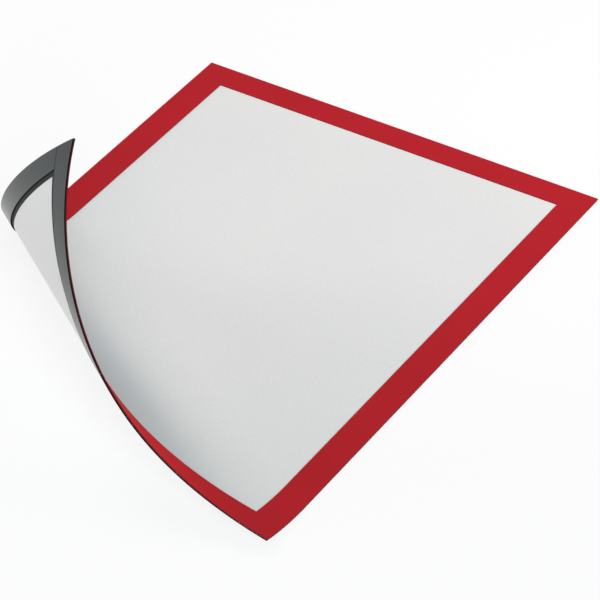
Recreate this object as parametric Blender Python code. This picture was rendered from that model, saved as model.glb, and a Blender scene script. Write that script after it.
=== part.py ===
# Magnetic sign frame for one A4 sheet, with its lower left corner peeled up and curled over.
#
# A thin matt window film carries a red border foil on its front, and four magnetic strips are
# glued to its back under the border, a little in from the sheet's edge. The strips leave a recess
# for the sheet of paper, which the border overlaps a little. The laminate lies face up: X runs
# across the short side, Y along the long side, and Z is up, out of the front face.
# The origin is the middle of the flat sheet, on the plane of the steel board that it holds to.
#
# The bend is a cone. Straight fold lines fan out from one apex beside the sheet, each turns the
# laminate by the same small angle, and they lie closer together where the bend is tighter.
# The curled part is a chain of sections that hinge about lines through that apex.

from math import cos, pi, radians, sin

import bmesh
import bpy
from mathutils import Matrix, Vector
from mathutils.geometry import intersect_line_line

# Sheet, in metres
SHEET_WIDTH = 0.236
SHEET_LENGTH = 0.323
BORDER_WIDTH = 0.0156
STRIP_WIDTH = 0.0124
STRIP_INSET = 0.0003
STRIP_BUTT_GAP = 0.0002

# Layers, from the board outwards
STRIP_THICKNESS = 0.00065
FILM_THICKNESS = 0.00018
FOIL_THICKNESS = 0.00038
GLUE_LINE = 0.00003

# Curled corner: how far up each long edge it reaches, and which way it folds at its tip
PEEL_UP_LEFT_EDGE = 0.1800
PEEL_UP_RIGHT_EDGE = 0.0345
TIP_FOLD_DIRECTION = radians(131.6)
CURL_ANGLE = radians(132.0)
TIP_EASING = 0.225
SECTIONS = 8
FOLDS_PER_SECTION = 8
SECTION_GAP = 0.0001

ON_LINE = 1e-7

FOLDS = SECTIONS * FOLDS_PER_SECTION
FOLD_ANGLE = CURL_ANGLE / FOLDS

RIGHT = SHEET_WIDTH / 2
LEFT = -RIGHT
TOP = SHEET_LENGTH / 2
BOTTOM = -TOP
CORNER = Vector((LEFT, BOTTOM, 0))
BEND_START_LEFT = Vector((LEFT, BOTTOM + PEEL_UP_LEFT_EDGE, 0))
BEND_START_RIGHT = Vector((RIGHT, BOTTOM + PEEL_UP_RIGHT_EDGE, 0))
TIP_FOLD = Vector((cos(TIP_FOLD_DIRECTION), sin(TIP_FOLD_DIRECTION), 0))
APEX = intersect_line_line(BEND_START_RIGHT, BEND_START_LEFT, CORNER, CORNER + TIP_FOLD)[0]
FAN_ANGLE = TIP_FOLD.angle(BEND_START_LEFT - BEND_START_RIGHT)
STRIP_CORNER = Vector((
    RIGHT - STRIP_INSET - STRIP_WIDTH, BOTTOM + STRIP_INSET + STRIP_WIDTH, 0))

FILM_LEVEL = STRIP_THICKNESS + GLUE_LINE
FOIL_LEVEL = FILM_LEVEL + FILM_THICKNESS + GLUE_LINE


def make_material(name, colour, roughness):
    material = bpy.data.materials.new(name)
    material.use_nodes = True
    shader = material.node_tree.nodes["Principled BSDF"]
    shader.inputs["Base Color"].default_value = (*colour, 1.0)
    shader.inputs["Roughness"].default_value = roughness
    shader.inputs["Metallic"].default_value = 0.0
    material.diffuse_color = (*colour, 1.0)
    return material


# The fan of lines. A line is named by its share of the curl, 0 where the bend starts and 1 at
# the corner. It is given by its direction towards the apex and the direction past it.

def wave(share):
    return sin(2 * pi * share) / (2 * pi)


def drift(share):
    return share * (share - 1)


def end_easing():
    """The easing that ends the first section at the strips' inner corner on the right."""
    first = 1 / SECTIONS
    place = 1 - TIP_FOLD.angle(APEX - STRIP_CORNER) / FAN_ANGLE
    return (place - first - TIP_EASING * drift(first)) / wave(first)


END_EASING = end_easing()


def line_at(share):
    place = share + END_EASING * wave(share) + TIP_EASING * drift(share)
    angle = TIP_FOLD_DIRECTION + FAN_ANGLE * (1 - place)
    towards_apex = Vector((cos(angle), sin(angle), 0))
    past = Vector((-sin(angle), cos(angle), 0))
    return towards_apex, past


def turn_about(axis, angle):
    return Matrix.Translation(APEX) @ Matrix.Rotation(angle, 4, axis) @ Matrix.Translation(-APEX)


def fan_of_folds():
    return [line_at((number + 0.5) / FOLDS) for number in range(FOLDS)]


def carries_between(folds):
    """The matrices that carry the flat sheet to the curl, one for each stretch between folds."""
    carries = [Matrix.Identity(4)]
    for axis, _ in folds:
        carries.append(carries[-1] @ turn_about(axis, FOLD_ANGLE))
    return carries


FOLD_LINES = fan_of_folds()
CARRIES = carries_between(FOLD_LINES)


def curled(point):
    """Where a point of the flat laminate lies in the curl; one on a fold line is mitred."""
    beyond = [(point - APEX).dot(past) for _, past in FOLD_LINES]
    passed = sum(1 for distance in beyond if distance > ON_LINE)
    if passed < FOLDS and abs(beyond[passed]) <= ON_LINE:
        mitred = Vector((point.x, point.y, point.z / cos(FOLD_ANGLE / 2)))
        return CARRIES[passed] @ turn_about(FOLD_LINES[passed][0], FOLD_ANGLE / 2) @ mitred
    return CARRIES[passed] @ point


# Flat outlines, as faces in the plane of the board

def outline(corners):
    mesh = bmesh.new()
    mesh.faces.new([mesh.verts.new((x, y, 0)) for x, y in corners])
    mesh.normal_update()
    return mesh


def plate(x_low, y_low, x_high, y_high):
    return outline([(x_low, y_low), (x_high, y_low), (x_high, y_high), (x_low, y_high)])


def ring(width):
    mesh = plate(LEFT, BOTTOM, RIGHT, TOP)
    window = mesh.faces[:]
    bmesh.ops.inset_region(
        mesh, faces=window, thickness=width, use_boundary=True, use_even_offset=True)
    bmesh.ops.delete(mesh, geom=window, context="FACES")
    return mesh


def curled_legs(width, gap):
    """The ring's left leg and its foot, which turns up the right edge, mitred to each other."""
    low, high = BOTTOM + width, TOP - width
    left, right = LEFT + width, RIGHT - width
    return {
        "left": outline([(LEFT, BOTTOM + gap), (left, low + gap), (left, high), (LEFT, high)]),
        "foot": outline([
            (LEFT + gap, BOTTOM), (RIGHT, BOTTOM), (RIGHT, high),
            (right, high), (right, low), (left + gap, low)]),
    }


def cut(mesh, line, offset, keep_past):
    """Cut a flat outline beside a line of the fan and keep one side of it."""
    _, past = line
    bmesh.ops.bisect_plane(
        mesh, geom=mesh.verts[:] + mesh.edges[:] + mesh.faces[:], dist=ON_LINE,
        plane_co=APEX + offset * past, plane_no=past,
        clear_inner=keep_past, clear_outer=not keep_past)


def keep_section(mesh, section):
    """Section 0 is the flat sheet, up to where the bend starts."""
    if section > 0:
        cut(mesh, line_at((section - 1) / SECTIONS), SECTION_GAP / 2, keep_past=True)
    if section < SECTIONS:
        cut(mesh, line_at(section / SECTIONS), -SECTION_GAP / 2, keep_past=False)


def score_folds(mesh):
    for _, past in FOLD_LINES:
        bmesh.ops.bisect_plane(
            mesh, geom=mesh.verts[:] + mesh.edges[:] + mesh.faces[:], dist=ON_LINE,
            plane_co=APEX, plane_no=past)


def thicken(mesh, level, thickness):
    bmesh.ops.translate(mesh, vec=(0, 0, level), verts=mesh.verts[:])
    made = bmesh.ops.extrude_face_region(mesh, geom=mesh.faces[:])
    raised = [item for item in made["geom"] if isinstance(item, bmesh.types.BMVert)]
    bmesh.ops.translate(mesh, vec=(0, 0, thickness), verts=raised)
    bmesh.ops.recalc_face_normals(mesh, faces=mesh.faces[:])


# The chain of hinges. Each axis is where the planes that touch two neighbouring sections along
# their middle lines meet, so that the sections lie on the board when the curl is undone.

def middle_normal(section):
    if section == 0:
        return Vector((0, 0, 1))
    stretch = (section - 1) * FOLDS_PER_SECTION + FOLDS_PER_SECTION // 2
    return CARRIES[stretch].to_3x3() @ Vector((0, 0, 1))


def hinge_frame(section):
    before = middle_normal(section - 1)
    axis = before.cross(middle_normal(section)).normalized()
    towards_sheet = axis if axis.dot(CORNER - APEX) > 0 else -axis
    across = before.cross(axis).normalized()
    frame = Matrix((axis, across, axis.cross(across))).transposed().to_4x4()
    frame.translation = APEX + (CORNER - APEX).length * towards_sheet
    return frame


def make_hinges():
    """One empty on each hinge axis, with its X along the axis, each on the one before."""
    hinges = [None]
    placed = Matrix.Identity(4)
    for section in range(1, SECTIONS + 1):
        hinge = bpy.data.objects.new(f"hinge_{section}", None)
        hinge.empty_display_size = STRIP_WIDTH
        hinge.parent = hinges[-1]
        frame = hinge_frame(section)
        hinge.matrix_parent_inverse = Matrix.Identity(4)
        hinge.matrix_basis = placed.inverted() @ frame
        placed = frame
        bpy.context.scene.collection.objects.link(hinge)
        hinges.append(hinge)
    return hinges


def add_piece(name, mesh, level, thickness, material, section, hinge):
    """Thicken a flat outline, bend it into its section of the curl and hang it on its hinge."""
    if not mesh.faces:
        return
    score_folds(mesh)
    thicken(mesh, level, thickness)
    for vert in mesh.verts:
        vert.co = curled(vert.co)
    if hinge is not None:
        bmesh.ops.transform(mesh, matrix=hinge_frame(section).inverted(), verts=mesh.verts[:])
        name = f"{name}_{section}"
    data = bpy.data.meshes.new(name)
    mesh.to_mesh(data)
    mesh.free()
    data.materials.append(material)
    piece = bpy.data.objects.new(name, data)
    piece.parent = hinge
    bpy.context.scene.collection.objects.link(piece)


# Layers, one section at a time

def window_film(section, hinge, material):
    film = plate(LEFT, BOTTOM, RIGHT, TOP)
    keep_section(film, section)
    add_piece("window_film", film, FILM_LEVEL, FILM_THICKNESS, material, section, hinge)


def border_foil(section, hinge, material):
    """One ring on the flat sheet, and two legs of that ring in the curled sections."""
    if section == 0:
        pieces = {"border_foil": ring(BORDER_WIDTH)}
    else:
        legs = curled_legs(BORDER_WIDTH, SECTION_GAP)
        pieces = {f"border_foil_{side}": leg for side, leg in legs.items()}
    for name, border in pieces.items():
        keep_section(border, section)
        add_piece(name, border, FOIL_LEVEL, FOIL_THICKNESS, material, section, hinge)


def magnetic_strips(section, hinge, material):
    """The short strips run from side to side, and the long ones butt against them."""
    left, right = LEFT + STRIP_INSET, RIGHT - STRIP_INSET
    bottom, top = BOTTOM + STRIP_INSET, TOP - STRIP_INSET
    low_end = bottom + STRIP_WIDTH + STRIP_BUTT_GAP
    high_end = top - STRIP_WIDTH - STRIP_BUTT_GAP
    strips = {
        "strip_top": (left, top - STRIP_WIDTH, right, top),
        "strip_bottom": (left, bottom, right, bottom + STRIP_WIDTH),
        "strip_left": (left, low_end, left + STRIP_WIDTH, high_end),
        "strip_right": (right - STRIP_WIDTH, low_end, right, high_end),
    }
    for name, sides in strips.items():
        strip = plate(*sides)
        keep_section(strip, section)
        add_piece(name, strip, 0, STRIP_THICKNESS, material, section, hinge)


def build():
    for old in list(bpy.data.objects):
        bpy.data.objects.remove(old)
    red = make_material("red_foil", (0.445, 0.019, 0.026), 0.55)
    grey = make_material("matt_film", (0.70, 0.71, 0.72), 0.40)
    magnet = make_material("magnetic_rubber", (0.115, 0.120, 0.115), 0.80)
    for section, hinge in enumerate(make_hinges()):
        window_film(section, hinge, grey)
        border_foil(section, hinge, red)
        magnetic_strips(section, hinge, magnet)


build()
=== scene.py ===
from math import asin, cos, pi, radians, sin

import bpy
import numpy as np
from mathutils import Matrix, Vector
from mathutils.geometry import intersect_line_line


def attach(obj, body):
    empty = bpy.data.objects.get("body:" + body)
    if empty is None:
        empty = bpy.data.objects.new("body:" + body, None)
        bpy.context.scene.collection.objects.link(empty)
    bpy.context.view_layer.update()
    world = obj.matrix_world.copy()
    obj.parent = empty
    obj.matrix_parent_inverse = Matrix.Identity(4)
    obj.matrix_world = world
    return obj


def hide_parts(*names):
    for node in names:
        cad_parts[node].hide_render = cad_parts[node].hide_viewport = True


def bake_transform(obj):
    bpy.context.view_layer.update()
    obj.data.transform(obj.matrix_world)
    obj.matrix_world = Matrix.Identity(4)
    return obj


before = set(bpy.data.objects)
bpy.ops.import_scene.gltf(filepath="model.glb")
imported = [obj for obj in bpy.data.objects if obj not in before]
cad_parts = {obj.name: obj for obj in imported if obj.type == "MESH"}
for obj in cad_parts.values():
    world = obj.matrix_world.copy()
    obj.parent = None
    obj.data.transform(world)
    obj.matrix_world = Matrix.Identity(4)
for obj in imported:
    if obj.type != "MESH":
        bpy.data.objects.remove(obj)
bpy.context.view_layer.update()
print("loaded the frame:", len(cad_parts), "nodes")

# sizes of the sheet and its layers in metres, from the board outwards
sheet = {
    "width": 0.236,
    "length": 0.323,
    "border": 0.0156,
    "strip": 0.0124,
    "stripInset": 0.0003,
    "buttGap": 0.0004,  # wider than in the solids, so that the seam shows
    "stripThickness": 0.00065,
    "filmThickness": 0.00018,
    "foilThickness": 0.00038,
    "glueLine": 0.00003,
}
right = sheet["width"] / 2
left = -right
top = sheet["length"] / 2
bottom = -top
filmLevel = sheet["stripThickness"] + sheet["glueLine"]
foilLevel = filmLevel + sheet["filmThickness"] + sheet["glueLine"]
frontLevel = foilLevel + sheet["foilThickness"]
recessEdge = sheet["stripInset"] + sheet["strip"]  # from the sheet's edge

# the curl is a cone: straight folds fan out from an apex to the left of the sheet
curl = {
    "upLeftEdge": 0.1800,  # where the bend starts, from the lower corners
    "upRightEdge": 0.0345,
    "tipFold": radians(131.6),  # direction of the fold through the peeled corner
    "angle": radians(132.0),  # all that the curl turns through
    "tipEasing": 0.225,
    "sections": 8,
    "foldsPerSection": 32,
    "onLine": 2e-6,  # a point as near a fold as this lies on it
}
foldCount = curl["sections"] * curl["foldsPerSection"]
foldTurn = curl["angle"] / foldCount


def pointAt(x, y, z=0.0):
    return Vector((x, y, z))


def directionOf(angle):
    return Vector((cos(angle), sin(angle), 0))


def squareTo(angle):  # level, and towards the peeled corner
    return -sin(angle), cos(angle), 0.0


startLeft = pointAt(left, bottom + curl["upLeftEdge"])
startRight = pointAt(right, bottom + curl["upRightEdge"])
tipCorner = pointAt(left, bottom)
tipFold = directionOf(curl["tipFold"])
apex = intersect_line_line(startRight, startLeft, tipCorner, tipCorner + tipFold)[0]
fanAngle = tipFold.angle(startLeft - startRight)


def easedPlace(share, endEasing):
    wave = endEasing * sin(2 * pi * share) / (2 * pi)
    return share + wave + curl["tipEasing"] * share * (share - 1)


def findEndEasing():  # the first section ends at the strips' inner corner on the right
    stripCorner = pointAt(right - recessEdge, bottom + recessEdge)
    place = 1 - tipFold.angle(apex - stripCorner) / fanAngle
    first = 1 / curl["sections"]
    return (place - easedPlace(first, 0)) / (easedPlace(first, 1) - easedPlace(first, 0))


endEasing = findEndEasing()


def foldAngle(share):  # share of the curl: 0 where the bend starts, 1 at the peeled corner
    return curl["tipFold"] + fanAngle * (1 - easedPlace(share, endEasing))


def turnAbout(angle, turn):  # about the fold line in this direction
    turned = Matrix.Rotation(turn, 4, directionOf(angle))
    return Matrix.Translation(apex) @ turned @ Matrix.Translation(-apex)


foldShares = [(number + 0.5) / foldCount for number in range(foldCount)]
foldAngles = [foldAngle(share) for share in foldShares]
seamShares = [(number - 0.5) / curl["sections"] for number in range(1, curl["sections"] + 1)]
pastFolds = np.array([squareTo(angle)[:2] for angle in foldAngles])


def foldCarries():  # what carries the flat sheet into the curl, past each fold and half way in it
    after, halfway = [Matrix.Identity(4)], []
    for angle in foldAngles:
        halfway.append(after[-1] @ turnAbout(angle, foldTurn / 2))
        after.append(after[-1] @ turnAbout(angle, foldTurn))
    return np.array(after), np.array(halfway)


carriesAfter, carriesHalfway = foldCarries()


def meshPoints(piece):
    points = np.empty(len(piece.data.vertices) * 3)
    piece.data.vertices.foreach_get("co", points)
    return points.reshape(-1, 3)


def beyondLine(points, angle):
    return (points[:, :2] - np.array(apex[:2])) @ np.array(squareTo(angle)[:2])


def curled(points):  # points of the flat sheet, carried to their places in the curl
    beyond = ((points[:, None, :2] - np.array(apex[:2])) * pastFolds[None]).sum(2)
    passed = (beyond > curl["onLine"]).sum(1)
    onFold = (abs(beyond) <= curl["onLine"]).any(1)
    carries = carriesAfter[passed]
    carries[onFold] = carriesHalfway[passed[onFold]]
    return np.einsum("nij,nj->ni", carries[:, :3, :3], points) + carries[:, :3, 3]


# modelling steps, all on the flat sheet until it is bent into the curl
build = {
    "acrossStep": 0.024,  # between the plain cuts along the sheet, so that it can bend both ways
    "wallTilt": 0.5,  # a face with less of its normal upright than this is a wall
    "squareEdge": 0.99,  # the sheet's own edges run along x and y, the seams don't
    "smoothAngle": radians(30),
    "tongue": 0.0003,
    "tongueInset": 0.25,  # from the faces of its layer, over the layer's thickness
}


def deselectAll():
    if bpy.context.object and bpy.context.object.mode != "OBJECT":
        bpy.ops.object.mode_set(mode="OBJECT")
    bpy.ops.object.select_all(action="DESELECT")


def makeActive(piece):
    deselectAll()
    piece.select_set(True)
    bpy.context.view_layer.objects.active = piece


def selectFaces(piece, chosen):  # and stays in edit mode
    makeActive(piece)
    bpy.ops.object.mode_set(mode="EDIT")
    bpy.ops.mesh.select_mode(type="FACE")
    bpy.ops.mesh.select_all(action="DESELECT")  # the cuts leave their own points selected
    bpy.ops.object.mode_set(mode="OBJECT")
    piece.data.polygons.foreach_set("select", chosen)
    bpy.ops.object.mode_set(mode="EDIT")


def faceCentres(piece):
    return np.array([face.center for face in piece.data.polygons])


def addPlate(name, lowX, lowY, highX, highY):
    deselectAll()
    middle = ((lowX + highX) / 2, (lowY + highY) / 2, 0)
    bpy.ops.mesh.primitive_plane_add(size=1, location=middle)
    plate = bpy.context.object
    plate.name = plate.data.name = name
    plate.scale = (highX - lowX, highY - lowY, 1)
    bpy.ops.object.transform_apply(location=True, rotation=True, scale=True)
    return plate


def cutMiddleOut(plate, width):
    makeActive(plate)
    bpy.ops.object.mode_set(mode="EDIT")
    bpy.ops.mesh.select_all(action="SELECT")
    bpy.ops.mesh.inset(thickness=width, depth=0, use_boundary=True, use_even_offset=True)
    bpy.ops.mesh.delete(type="FACE")
    bpy.ops.object.mode_set(mode="OBJECT")


def bisectAt(point, normal):
    bpy.ops.mesh.select_all(action="SELECT")
    bpy.ops.mesh.bisect(plane_co=point, plane_no=normal, use_fill=False, threshold=curl["onLine"])


def cutForBending(plate):
    makeActive(plate)
    bpy.ops.object.mode_set(mode="EDIT")
    fromEdge = (recessEdge, sheet["border"])
    step = build["acrossStep"]
    acrossX = [left + inset for inset in fromEdge] + [right - inset for inset in fromEdge]
    acrossX += list(np.arange(left + 2 * step, right - step, step))
    for x in acrossX:
        bisectAt((x, 0, 0), (1, 0, 0))
    for y in [bottom + inset for inset in fromEdge] + [top - inset for inset in fromEdge]:
        bisectAt((0, y, 0), (0, 1, 0))
    for angle in foldAngles + [foldAngle(share) for share in [0] + seamShares[:-1]]:
        bisectAt(apex, squareTo(angle))
    bpy.ops.object.mode_set(mode="OBJECT")


def splitAtSeams(plate):  # one part for each joint of the curl, from the flat sheet to the tip
    parts = {}
    for number, share in enumerate(seamShares[:-1], start=1):
        before = beyondLine(faceCentres(plate), foldAngle(share)) < 0
        if before.all():
            parts[number] = plate
            return parts
        if not before.any():
            continue
        selectFaces(plate, before)
        bpy.ops.mesh.separate(type="SELECTED")
        bpy.ops.object.mode_set(mode="OBJECT")
        parts[number] = next(piece for piece in bpy.context.selected_objects if piece != plate)
    parts[curl["sections"]] = plate
    return parts


def thicken(part, level, thickness):
    makeActive(part)
    bpy.ops.object.mode_set(mode="EDIT")
    bpy.ops.mesh.select_all(action="SELECT")
    bpy.ops.transform.translate(value=(0, 0, level))
    bpy.ops.mesh.extrude_region_move(TRANSFORM_OT_translate={"value": (0, 0, thickness)})
    bpy.ops.mesh.select_all(action="SELECT")
    bpy.ops.mesh.normals_make_consistent(inside=False)
    bpy.ops.object.mode_set(mode="OBJECT")


# hidden in the next part, the tongue closes the seam when the curl lies flat
def addTongue(part, number, thickness):
    angle = foldAngle(seamShares[number - 1])
    selectFaces(part, abs(beyondLine(faceCentres(part), angle)) < curl["onLine"])
    bpy.ops.mesh.inset(thickness=build["tongueInset"] * thickness, depth=0, use_boundary=True)
    reach = build["tongue"] * Vector(squareTo(angle))
    bpy.ops.mesh.extrude_region_move(TRANSFORM_OT_translate={"value": reach})
    bpy.ops.object.mode_set(mode="OBJECT")


def layFlatMap(part, lengthwise):  # the flat sheet's own place on every corner, in metres
    points = meshPoints(part)[:, :2]
    if lengthwise == "y":
        points = points[:, ::-1]
    corners = np.empty(len(part.data.loops), dtype=int)
    part.data.loops.foreach_get("vertex_index", corners)
    while part.data.uv_layers:
        part.data.uv_layers.remove(part.data.uv_layers[0])
    flatMap = part.data.uv_layers.new(name="flatMap")
    flatMap.data.foreach_set("uv", points[corners].ravel())


def underBorder(centre):
    fromEdge = min(centre.x - left, right - centre.x, centre.y - bottom, top - centre.y)
    return fromEdge < sheet["border"]


# the order of a layer's finishes; the last is for the back under the border
frontSlot, backSlot, edgeSlot, coveredSlot = range(4)


def dressFaces(part, finishes):
    part.data.materials.clear()
    for finish in finishes:
        part.data.materials.append(finish)
    for face in part.data.polygons:
        normal = face.normal
        if abs(normal.z) < build["wallTilt"]:
            onEdge = max(abs(normal.x), abs(normal.y)) > build["squareEdge"]
            face.material_index = edgeSlot if onEdge else frontSlot
        elif normal.z > 0:
            face.material_index = frontSlot
        elif len(finishes) > coveredSlot and underBorder(face.center):
            face.material_index = coveredSlot
        else:
            face.material_index = backSlot


def bendIntoCurl(part):
    part.data.vertices.foreach_set("co", curled(meshPoints(part)).ravel())
    part.data.update()
    makeActive(part)
    bpy.ops.object.shade_smooth_by_angle(angle=build["smoothAngle"])


# where the parts' blends between the bodies of the curl would start and end: a blend is wider than
# its part, and both sides of a seam meet as high as the hinge lines, so that the curl could
# flatten out without waves; the spans are worked out, but no part is blended or turned with a body
# here
turning = {
    "spanReach": 0.56,  # from the apex, where a blend's span is measured
    "seamLift": 0.25,  # how much of the turn beyond a seam lifts it when the curl lies flat
}


def endsOf(number):  # shares of the curl where a part starts and ends
    return ([0] + seamShares)[number - 1:number + 1]


def hingeOf(number):  # the direction of a part's hinge line and the angle that it turns through
    first, last = endsOf(number)
    angles = [foldAngle(share) for share in foldShares if first < share < last]
    return np.mean(angles), len(angles) * foldTurn


def seamWeights(number):  # of the blends before and after a seam, on the seam
    angle = foldAngle(seamShares[number - 1])
    (lineBefore, turnBefore), (lineAfter, turnAfter) = hingeOf(number), hingeOf(number + 1)
    before, after = turnBefore * abs(lineBefore - angle), turnAfter * abs(lineAfter - angle)
    lift = turning["seamLift"] * (before + after) / 2
    return 1 - lift / before, lift / after


def placeInBlend(weight):  # where between its start and end a blend has this weight
    return 0.5 - sin(asin(1 - 2 * weight) / 3)


def seamPoint(share):  # on the seam, half way through the sheet, always as far from the apex
    fromApex = turning["spanReach"] * directionOf(foldAngle(share))
    flat = apex - fromApex + pointAt(0, 0, frontLevel / 2)
    return curled(np.array([flat]))[0]


def blendSpan(number):  # where a part's blend starts and ends
    first, last = (seamPoint(share) for share in endsOf(number))
    weightBefore, weightAfter = 0, 1 - turning["seamLift"]
    if number > 1:
        weightBefore = seamWeights(number - 1)[1]
    if number < curl["sections"]:
        weightAfter = seamWeights(number)[0]
    low, high = placeInBlend(weightBefore), placeInBlend(weightAfter)
    across = last - first
    if number == 1:  # square to the line where the bend starts
        square = np.array(squareTo(foldAngle(0)))
        across = (across @ square) * square
    span = across / (high - low)
    return first - low * span, first + (1 - low) * span


# sockets of a Mix node that mixes colours
colourA, colourB, mixedColour = 6, 7, 2


def addGroup(name, inputs, outputs):
    group = bpy.data.node_groups.new(name, "ShaderNodeTree")
    for label, kind, value in inputs:
        socket = group.interface.new_socket(label, in_out="INPUT", socket_type=kind)
        if value is not None:
            socket.default_value = value
    for label, kind in outputs:
        group.interface.new_socket(label, in_out="OUTPUT", socket_type=kind)
    start = group.nodes.new("NodeGroupInput")
    end = group.nodes.new("NodeGroupOutput")
    return group, start, end


def addNode(tree, kind, **settings):
    node = tree.nodes.new(kind)
    for name, value in settings.items():
        setattr(node, name, value)
    return node


def addNoise(tree, vector, scale, detail, roughness):
    noise = addNode(tree, "ShaderNodeTexNoise", noise_dimensions="2D")
    tree.links.new(vector, noise.inputs["Vector"])
    tree.links.new(scale, noise.inputs["Scale"])
    noise.inputs["Detail"].default_value = detail
    noise.inputs["Roughness"].default_value = roughness
    return noise


def addRange(tree, value, low, high, toLow, toHigh):
    ramp = addNode(tree, "ShaderNodeMapRange")
    tree.links.new(value, ramp.inputs["Value"])
    limits = {"From Min": low, "From Max": high, "To Min": toLow, "To Max": toHigh}
    for label, limit in limits.items():
        ramp.inputs[label].default_value = limit
    return ramp.outputs["Result"]


unevenness = {  # detail and roughness of the noise, and the part of its range that is used
    "Grain": (3.0, 0.6),
    "Cloud": (2.0, 0.5),
    "range": (0.3, 0.7),
}


def makeGrainGroup():  # the fine tooth of a cast surface, and the slow unevenness under it
    group, start, end = addGroup(
        "surfaceGrain",
        [("Vector", "NodeSocketVector", None), ("Grain Scale", "NodeSocketFloat", 1500.0),
         ("Cloud Scale", "NodeSocketFloat", 30.0)],
        [("Grain", "NodeSocketFloat"), ("Cloud", "NodeSocketFloat")])
    for mask in ("Grain", "Cloud"):
        scale = start.outputs[f"{mask} Scale"]
        noise = addNoise(group, start.outputs["Vector"], scale, *unevenness[mask])
        spread = addRange(group, noise.outputs["Fac"], *unevenness["range"], 0.0, 1.0)
        group.links.new(spread, end.inputs[mask])
    return group


def makeTintGroup():  # one colour that drifts between two tones, with grain on top
    group, start, end = addGroup(
        "grainedColour",
        [("Tone A", "NodeSocketColor", (0.5, 0.5, 0.5, 1)),
         ("Tone B", "NodeSocketColor", (0.5, 0.5, 0.5, 1)),
         ("Grain", "NodeSocketFloat", 0.5), ("Cloud", "NodeSocketFloat", 0.5),
         ("Grain Contrast", "NodeSocketFloat", 0.1)],
        [("Color", "NodeSocketColor")])
    drift = addNode(group, "ShaderNodeMix", data_type="RGBA")
    group.links.new(start.outputs["Cloud"], drift.inputs["Factor"])
    group.links.new(start.outputs["Tone A"], drift.inputs[colourA])
    group.links.new(start.outputs["Tone B"], drift.inputs[colourB])
    centred = addNode(group, "ShaderNodeMath", operation="SUBTRACT")
    centred.inputs[1].default_value = 0.5
    group.links.new(start.outputs["Grain"], centred.inputs[0])
    gain = addNode(group, "ShaderNodeMath", operation="MULTIPLY_ADD")
    gain.inputs[2].default_value = 1.0
    group.links.new(centred.outputs[0], gain.inputs[0])
    group.links.new(start.outputs["Grain Contrast"], gain.inputs[1])
    scaled = addNode(group, "ShaderNodeVectorMath", operation="SCALE")
    group.links.new(drift.outputs[mixedColour], scaled.inputs[0])
    group.links.new(gain.outputs[0], scaled.inputs["Scale"])
    group.links.new(scaled.outputs[0], end.inputs["Color"])
    return group


grainGroup = makeGrainGroup()
tintGroup = makeTintGroup()


# painted light by height: between two heights a layer's colour is multiplied by a tint as it lifts
# off the white board, painted shade on the film and a painted highlight on the red foil
def paintLightByHeight(tree, colour, tint, heights):
    place = addNode(tree, "ShaderNodeTexCoord")
    split = addNode(tree, "ShaderNodeSeparateXYZ")
    tree.links.new(place.outputs["Object"], split.inputs["Vector"])
    lift = addRange(tree, split.outputs["Z"], *heights, 0.0, 1.0)
    lift.node.interpolation_type = "SMOOTHSTEP"
    paintedLiftLight = addNode(tree, "ShaderNodeMix", data_type="RGBA", blend_type="MULTIPLY")
    tree.links.new(lift, paintedLiftLight.inputs["Factor"])
    tree.links.new(colour, paintedLiftLight.inputs[colourA])
    paintedLiftLight.inputs[colourB].default_value = (*tint, 1)
    return paintedLiftLight.outputs[mixedColour]


def makeFinish(name, look):
    finish = bpy.data.materials.new(name)
    finish.use_nodes = True
    tree = finish.node_tree
    shader = tree.nodes["Principled BSDF"]
    flat = addNode(tree, "ShaderNodeUVMap", uv_map="flatMap")
    place = addNode(tree, "ShaderNodeMapping")
    place.inputs["Scale"].default_value = look.get("stretch", (1, 1, 1))
    tree.links.new(flat.outputs["UV"], place.inputs["Vector"])
    grain = addNode(tree, "ShaderNodeGroup", node_tree=grainGroup)
    grain.inputs["Grain Scale"].default_value = look["grainScale"]
    grain.inputs["Cloud Scale"].default_value = look["cloudScale"]
    tree.links.new(place.outputs["Vector"], grain.inputs["Vector"])
    tint = addNode(tree, "ShaderNodeGroup", node_tree=tintGroup)
    tint.inputs["Tone A"].default_value = (*look["toneA"], 1)
    tint.inputs["Tone B"].default_value = (*look["toneB"], 1)
    tint.inputs["Grain Contrast"].default_value = look["grainContrast"]
    for mask in ("Grain", "Cloud"):
        tree.links.new(grain.outputs[mask], tint.inputs[mask])
    colour = tint.outputs["Color"]
    if "paintedLiftLight" in look:
        colour = paintLightByHeight(tree, colour, look["paintedLiftLight"], look["paintedLightHeights"])
    tree.links.new(colour, shader.inputs["Base Color"])
    roughness = addRange(tree, grain.outputs["Cloud"], 0, 1, *look["roughness"])
    tree.links.new(roughness, shader.inputs["Roughness"])
    bump = addNode(tree, "ShaderNodeBump")
    bump.inputs["Strength"].default_value = look["bumpStrength"]
    bump.inputs["Distance"].default_value = look["bumpDistance"]
    tree.links.new(grain.outputs["Grain"], bump.inputs["Height"])
    tree.links.new(bump.outputs["Normal"], shader.inputs["Normal"])
    shader.inputs["Specular IOR Level"].default_value = look["specular"]
    return finish


# red foil front: its lift tint is a painted highlight, brighter and redder where the foil rises
# from 2 mm to 24 mm above the board
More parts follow.
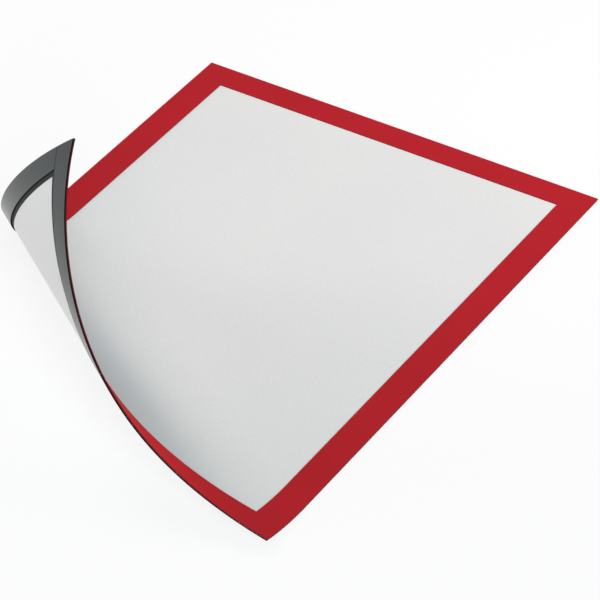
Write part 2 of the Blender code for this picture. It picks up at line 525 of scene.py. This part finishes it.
redFoilFront = makeFinish("redFoilFront", {
    "toneA": (0.420, 0.0135, 0.0205), "toneB": (0.450, 0.0150, 0.0230), "grainContrast": 0.14,
    "grainScale": 1100, "cloudScale": 26, "roughness": (0.60, 0.68), "specular": 0.05,
    "bumpStrength": 0.25, "bumpDistance": 0.00004,
    "paintedLiftLight": (1.40, 0.85, 0.90), "paintedLightHeights": (0.002, 0.024)})
# foil cut walls: a darker red than the front, partly the edge's own red and partly painted shade
# for the dark line at the border's edges
shadedFoilEdge = makeFinish("shadedFoilEdge", {
    "toneA": (0.150, 0.0070, 0.0110), "toneB": (0.190, 0.0085, 0.0130), "grainContrast": 0.20,
    "grainScale": 1400, "cloudScale": 60, "roughness": (0.60, 0.70), "specular": 0.06,
    "bumpStrength": 0.1, "bumpDistance": 0.00002})
darkFoilBack = makeFinish("darkFoilBack", {
    "toneA": (0.030, 0.033, 0.034), "toneB": (0.038, 0.041, 0.042), "grainContrast": 0.15,
    "grainScale": 900, "cloudScale": 40, "roughness": (0.65, 0.75), "specular": 0.05,
    "bumpStrength": 0.1, "bumpDistance": 0.00003})
# window film front: its lift tint is painted shade, darker and bluish where the film rises from 2
# mm to 15 mm above the board
mattFilm = makeFinish("mattFilm", {
    "toneA": (0.733, 0.744, 0.740), "toneB": (0.753, 0.762, 0.755), "grainContrast": 0.045,
    "grainScale": 620, "cloudScale": 12, "roughness": (0.68, 0.75), "specular": 0.10,
    "bumpStrength": 0.2, "bumpDistance": 0.00003,
    "paintedLiftLight": (0.81, 0.845, 0.865), "paintedLightHeights": (0.002, 0.015)})
# film back: its tone is the front's tone darkened by about a sixth, painted shade for the inside
# of the curl
shadedFilmBack = makeFinish("shadedFilmBack", {
    "toneA": (0.609, 0.622, 0.620), "toneB": (0.641, 0.654, 0.650), "grainContrast": 0.04,
    "grainScale": 620, "cloudScale": 12, "roughness": (0.35, 0.42), "specular": 0.4,
    "bumpStrength": 0.2, "bumpDistance": 0.00003})
# film cut walls: near black with a red cast, painted shade for the dark line along the sheet's
# walls
shadedFilmEdge = makeFinish("shadedFilmEdge", {
    "toneA": (0.050, 0.006, 0.008), "toneB": (0.070, 0.009, 0.011), "grainContrast": 0.2,
    "grainScale": 1400, "cloudScale": 60, "roughness": (0.60, 0.70), "specular": 0.05,
    "bumpStrength": 0.1, "bumpDistance": 0.00002})
magneticRubber = makeFinish("magneticRubber", {
    "toneA": (0.006, 0.012, 0.013), "toneB": (0.010, 0.017, 0.018), "grainContrast": 0.30,
    "grainScale": 1300, "cloudScale": 35, "roughness": (0.18, 0.24), "specular": 0.32,
    "stretch": (0.12, 1, 1), "bumpStrength": 0.15, "bumpDistance": 0.00003})
stripCutEdge = makeFinish("stripCutEdge", {
    "toneA": (0.003, 0.003, 0.003), "toneB": (0.006, 0.006, 0.006), "grainContrast": 0.4,
    "grainScale": 1500, "cloudScale": 80, "roughness": (0.75, 0.85), "specular": 0.05,
    "bumpStrength": 0.3, "bumpDistance": 0.00005})
print("made the materials")


layers = {
    "windowFilm": {
        "sides": (left, bottom, right, top), "level": filmLevel,
        "thickness": sheet["filmThickness"], "lengthwise": "x", "slot": "film",
        "finishes": (mattFilm, shadedFilmBack, shadedFilmEdge, darkFoilBack),
        "nodes": ("window_film",)},
    "borderFoil": {
        "sides": (left, bottom, right, top), "level": foilLevel, "border": sheet["border"],
        "thickness": sheet["foilThickness"], "lengthwise": "x", "slot": "foil",
        "finishes": (redFoilFront, darkFoilBack, shadedFoilEdge),
        "nodes": ("border_foil", "border_foil_left", "border_foil_foot")},
}
stripLeft, stripRight = left + sheet["stripInset"], right - sheet["stripInset"]
stripBottom, stripTop = bottom + sheet["stripInset"], top - sheet["stripInset"]
lowEnd = stripBottom + sheet["strip"] + sheet["buttGap"]  # the side strips end at the other two
highEnd = stripTop - sheet["strip"] - sheet["buttGap"]
stripSides = {
    "stripTop": (stripLeft, stripTop - sheet["strip"], stripRight, stripTop),
    "stripBottom": (stripLeft, stripBottom, stripRight, stripBottom + sheet["strip"]),
    "stripLeft": (stripLeft, lowEnd, stripLeft + sheet["strip"], highEnd),
    "stripRight": (stripRight - sheet["strip"], lowEnd, stripRight, highEnd),
}
for name, sides in stripSides.items():
    layers[name] = {
        "sides": sides, "level": 0, "thickness": sheet["stripThickness"],
        "finishes": (magneticRubber, magneticRubber, stripCutEdge), "slot": "magnet",
        "lengthwise": "x" if name in ("stripTop", "stripBottom") else "y",
        "nodes": (name.replace("strip", "strip_").lower(),)}


def nodesFor(layer, number):  # the solids of the sections on both sides of the part's joint
    names = []
    for node in layer["nodes"]:
        names += [node] if number == 1 else []
        names += [f"{node}_{section}" for section in (number - 1, number)]
    return [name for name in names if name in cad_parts]


for name, layer in layers.items():
    plate = addPlate(name, *layer["sides"])
    if "border" in layer:
        cutMiddleOut(plate, layer["border"])
    cutForBending(plate)
    parts = splitAtSeams(plate)
    for number, part in parts.items():
        thicken(part, layer["level"], layer["thickness"])
        if number + 1 in parts:
            addTongue(part, number, layer["thickness"])
        layFlatMap(part, layer["lengthwise"])
        dressFaces(part, layer["finishes"])
        bendIntoCurl(part)
        part.name = part.data.name = f"{name}{number}" if len(parts) > 1 else name
        if len(parts) > 1:
            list(blendSpan(number))
            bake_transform(part)
        else:
            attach(part, "sheet")
        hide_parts(*nodesFor(layer, number))
    print("made", name, "in", len(parts), "parts")


studio = {
    "ambient": 0.14,
    "floorSize": 6.0,
    "floorDrop": 0.0002,  # below the backs of the strips
    "floorTone": (0.93, 0.93, 0.93),
    "floorRoughness": 0.9,
    "floorGlow": 0.80,  # share of plain white that the camera sees in the floor
    "lamps": {  # place, diameter in metres, power, tint
        "keyLamp": ((2.399, -2.399, 2.120), 2.2, 136.5, (0.80, 0.95, 1.0)),
        "frontLamp": ((1.684, -3.305, 1.498), 1.5, 39.2, (1.0, 0.70, 0.58)),
        "sideLamp": ((-0.857, 0.495, 0.990), 0.6, 5.16, (1.0, 0.96, 0.89)),
        "lowLamp": ((-1.851, -0.674, 0.347), 1.0, 15.3, (1.0, 1.0, 1.0)),
        "nearLamp": ((0.15, 0.30, 0.35), 0.35, 0.58, (1.0, 0.85, 0.85)),
    },
}


def whiteForCamera(tree):  # 1 for rays that see the background straight, in gloss or through glass
    path = addNode(tree, "ShaderNodeLightPath")
    seen = addNode(tree, "ShaderNodeMath", operation="MAXIMUM")
    tree.links.new(path.outputs["Is Camera Ray"], seen.inputs[0])
    tree.links.new(path.outputs["Is Glossy Ray"], seen.inputs[1])
    seenAtAll = addNode(tree, "ShaderNodeMath", operation="MAXIMUM")
    tree.links.new(seen.outputs[0], seenAtAll.inputs[0])
    tree.links.new(path.outputs["Is Transmission Ray"], seenAtAll.inputs[1])
    return seenAtAll.outputs[0]


def makeWorld():
    world = bpy.data.worlds.new("softStudio")
    world.use_nodes = True
    bpy.context.scene.world = world
    tree = world.node_tree
    background = tree.nodes["Background"]
    background.inputs["Color"].default_value = (1, 1, 1, 1)
    strength = addRange(tree, whiteForCamera(tree), 0, 1, studio["ambient"], 1.0)
    tree.links.new(strength, background.inputs["Strength"])


def makeFloor():
    deselectAll()
    below = (0, 0, -studio["floorDrop"])
    bpy.ops.mesh.primitive_plane_add(size=studio["floorSize"], location=below)
    floor = bpy.context.object
    floor.name = "studioFloor"
    paper = bpy.data.materials.new("whiteFloor")
    paper.use_nodes = True
    tree = paper.node_tree
    shader = tree.nodes["Principled BSDF"]
    shader.inputs["Base Color"].default_value = (*studio["floorTone"], 1)
    shader.inputs["Roughness"].default_value = studio["floorRoughness"]
    shader.inputs["Specular IOR Level"].default_value = 0.0
    glow = addNode(tree, "ShaderNodeEmission")
    glow.inputs["Strength"].default_value = 1.0
    mix = addNode(tree, "ShaderNodeMixShader")
    share = addRange(tree, whiteForCamera(tree), 0, 1, 0.0, studio["floorGlow"])
    tree.links.new(share, mix.inputs["Fac"])
    tree.links.new(shader.outputs["BSDF"], mix.inputs[1])
    tree.links.new(glow.outputs["Emission"], mix.inputs[2])
    tree.links.new(mix.outputs["Shader"], tree.nodes["Material Output"].inputs["Surface"])
    floor.data.materials.append(paper)


def addLamp(name, place, size, power, tint):
    deselectAll()
    bpy.ops.object.light_add(type="AREA", location=place)
    lamp = bpy.context.object
    lamp.name = lamp.data.name = name
    lamp.data.shape = "DISK"
    lamp.data.size = size
    lamp.data.energy = power
    lamp.data.color = tint
    facingSheet = Vector(place).to_track_quat("Z", "Y")
    lamp.rotation_euler = facingSheet.to_euler()


view = {
    "azimuth": radians(31.24),
    "elevation": radians(37.29),
    "roll": radians(0.54),
    "distance": 1.9582,
    "target": (0.03223, 0.00807, 0.0),
    "lens": 236.3,
    "sensor": 36,
    "farEnd": 20,
}


def makeCamera():
    azimuth, elevation, roll = view["azimuth"], view["elevation"], view["roll"]
    level = Vector((cos(azimuth), sin(azimuth), 0))
    back = Vector((sin(azimuth) * cos(elevation), -cos(azimuth) * cos(elevation), sin(elevation)))
    up = back.cross(level)
    rolled = (cos(roll) * level + sin(roll) * up, -sin(roll) * level + cos(roll) * up, back)
    bpy.ops.object.camera_add()
    camera = bpy.context.object
    camera.name = "photoCamera"
    camera.matrix_world = Matrix(rolled).transposed().to_4x4()
    camera.location = Vector(view["target"]) + view["distance"] * back
    camera.data.sensor_width = view["sensor"]
    camera.data.lens = view["lens"]
    camera.data.clip_end = view["farEnd"]
    bpy.context.scene.camera = camera


makeWorld()
makeFloor()
for name, setting in studio["lamps"].items():
    addLamp(name, *setting)
makeCamera()
bpy.context.scene.view_settings.view_transform = "Standard"
print("set up the studio")
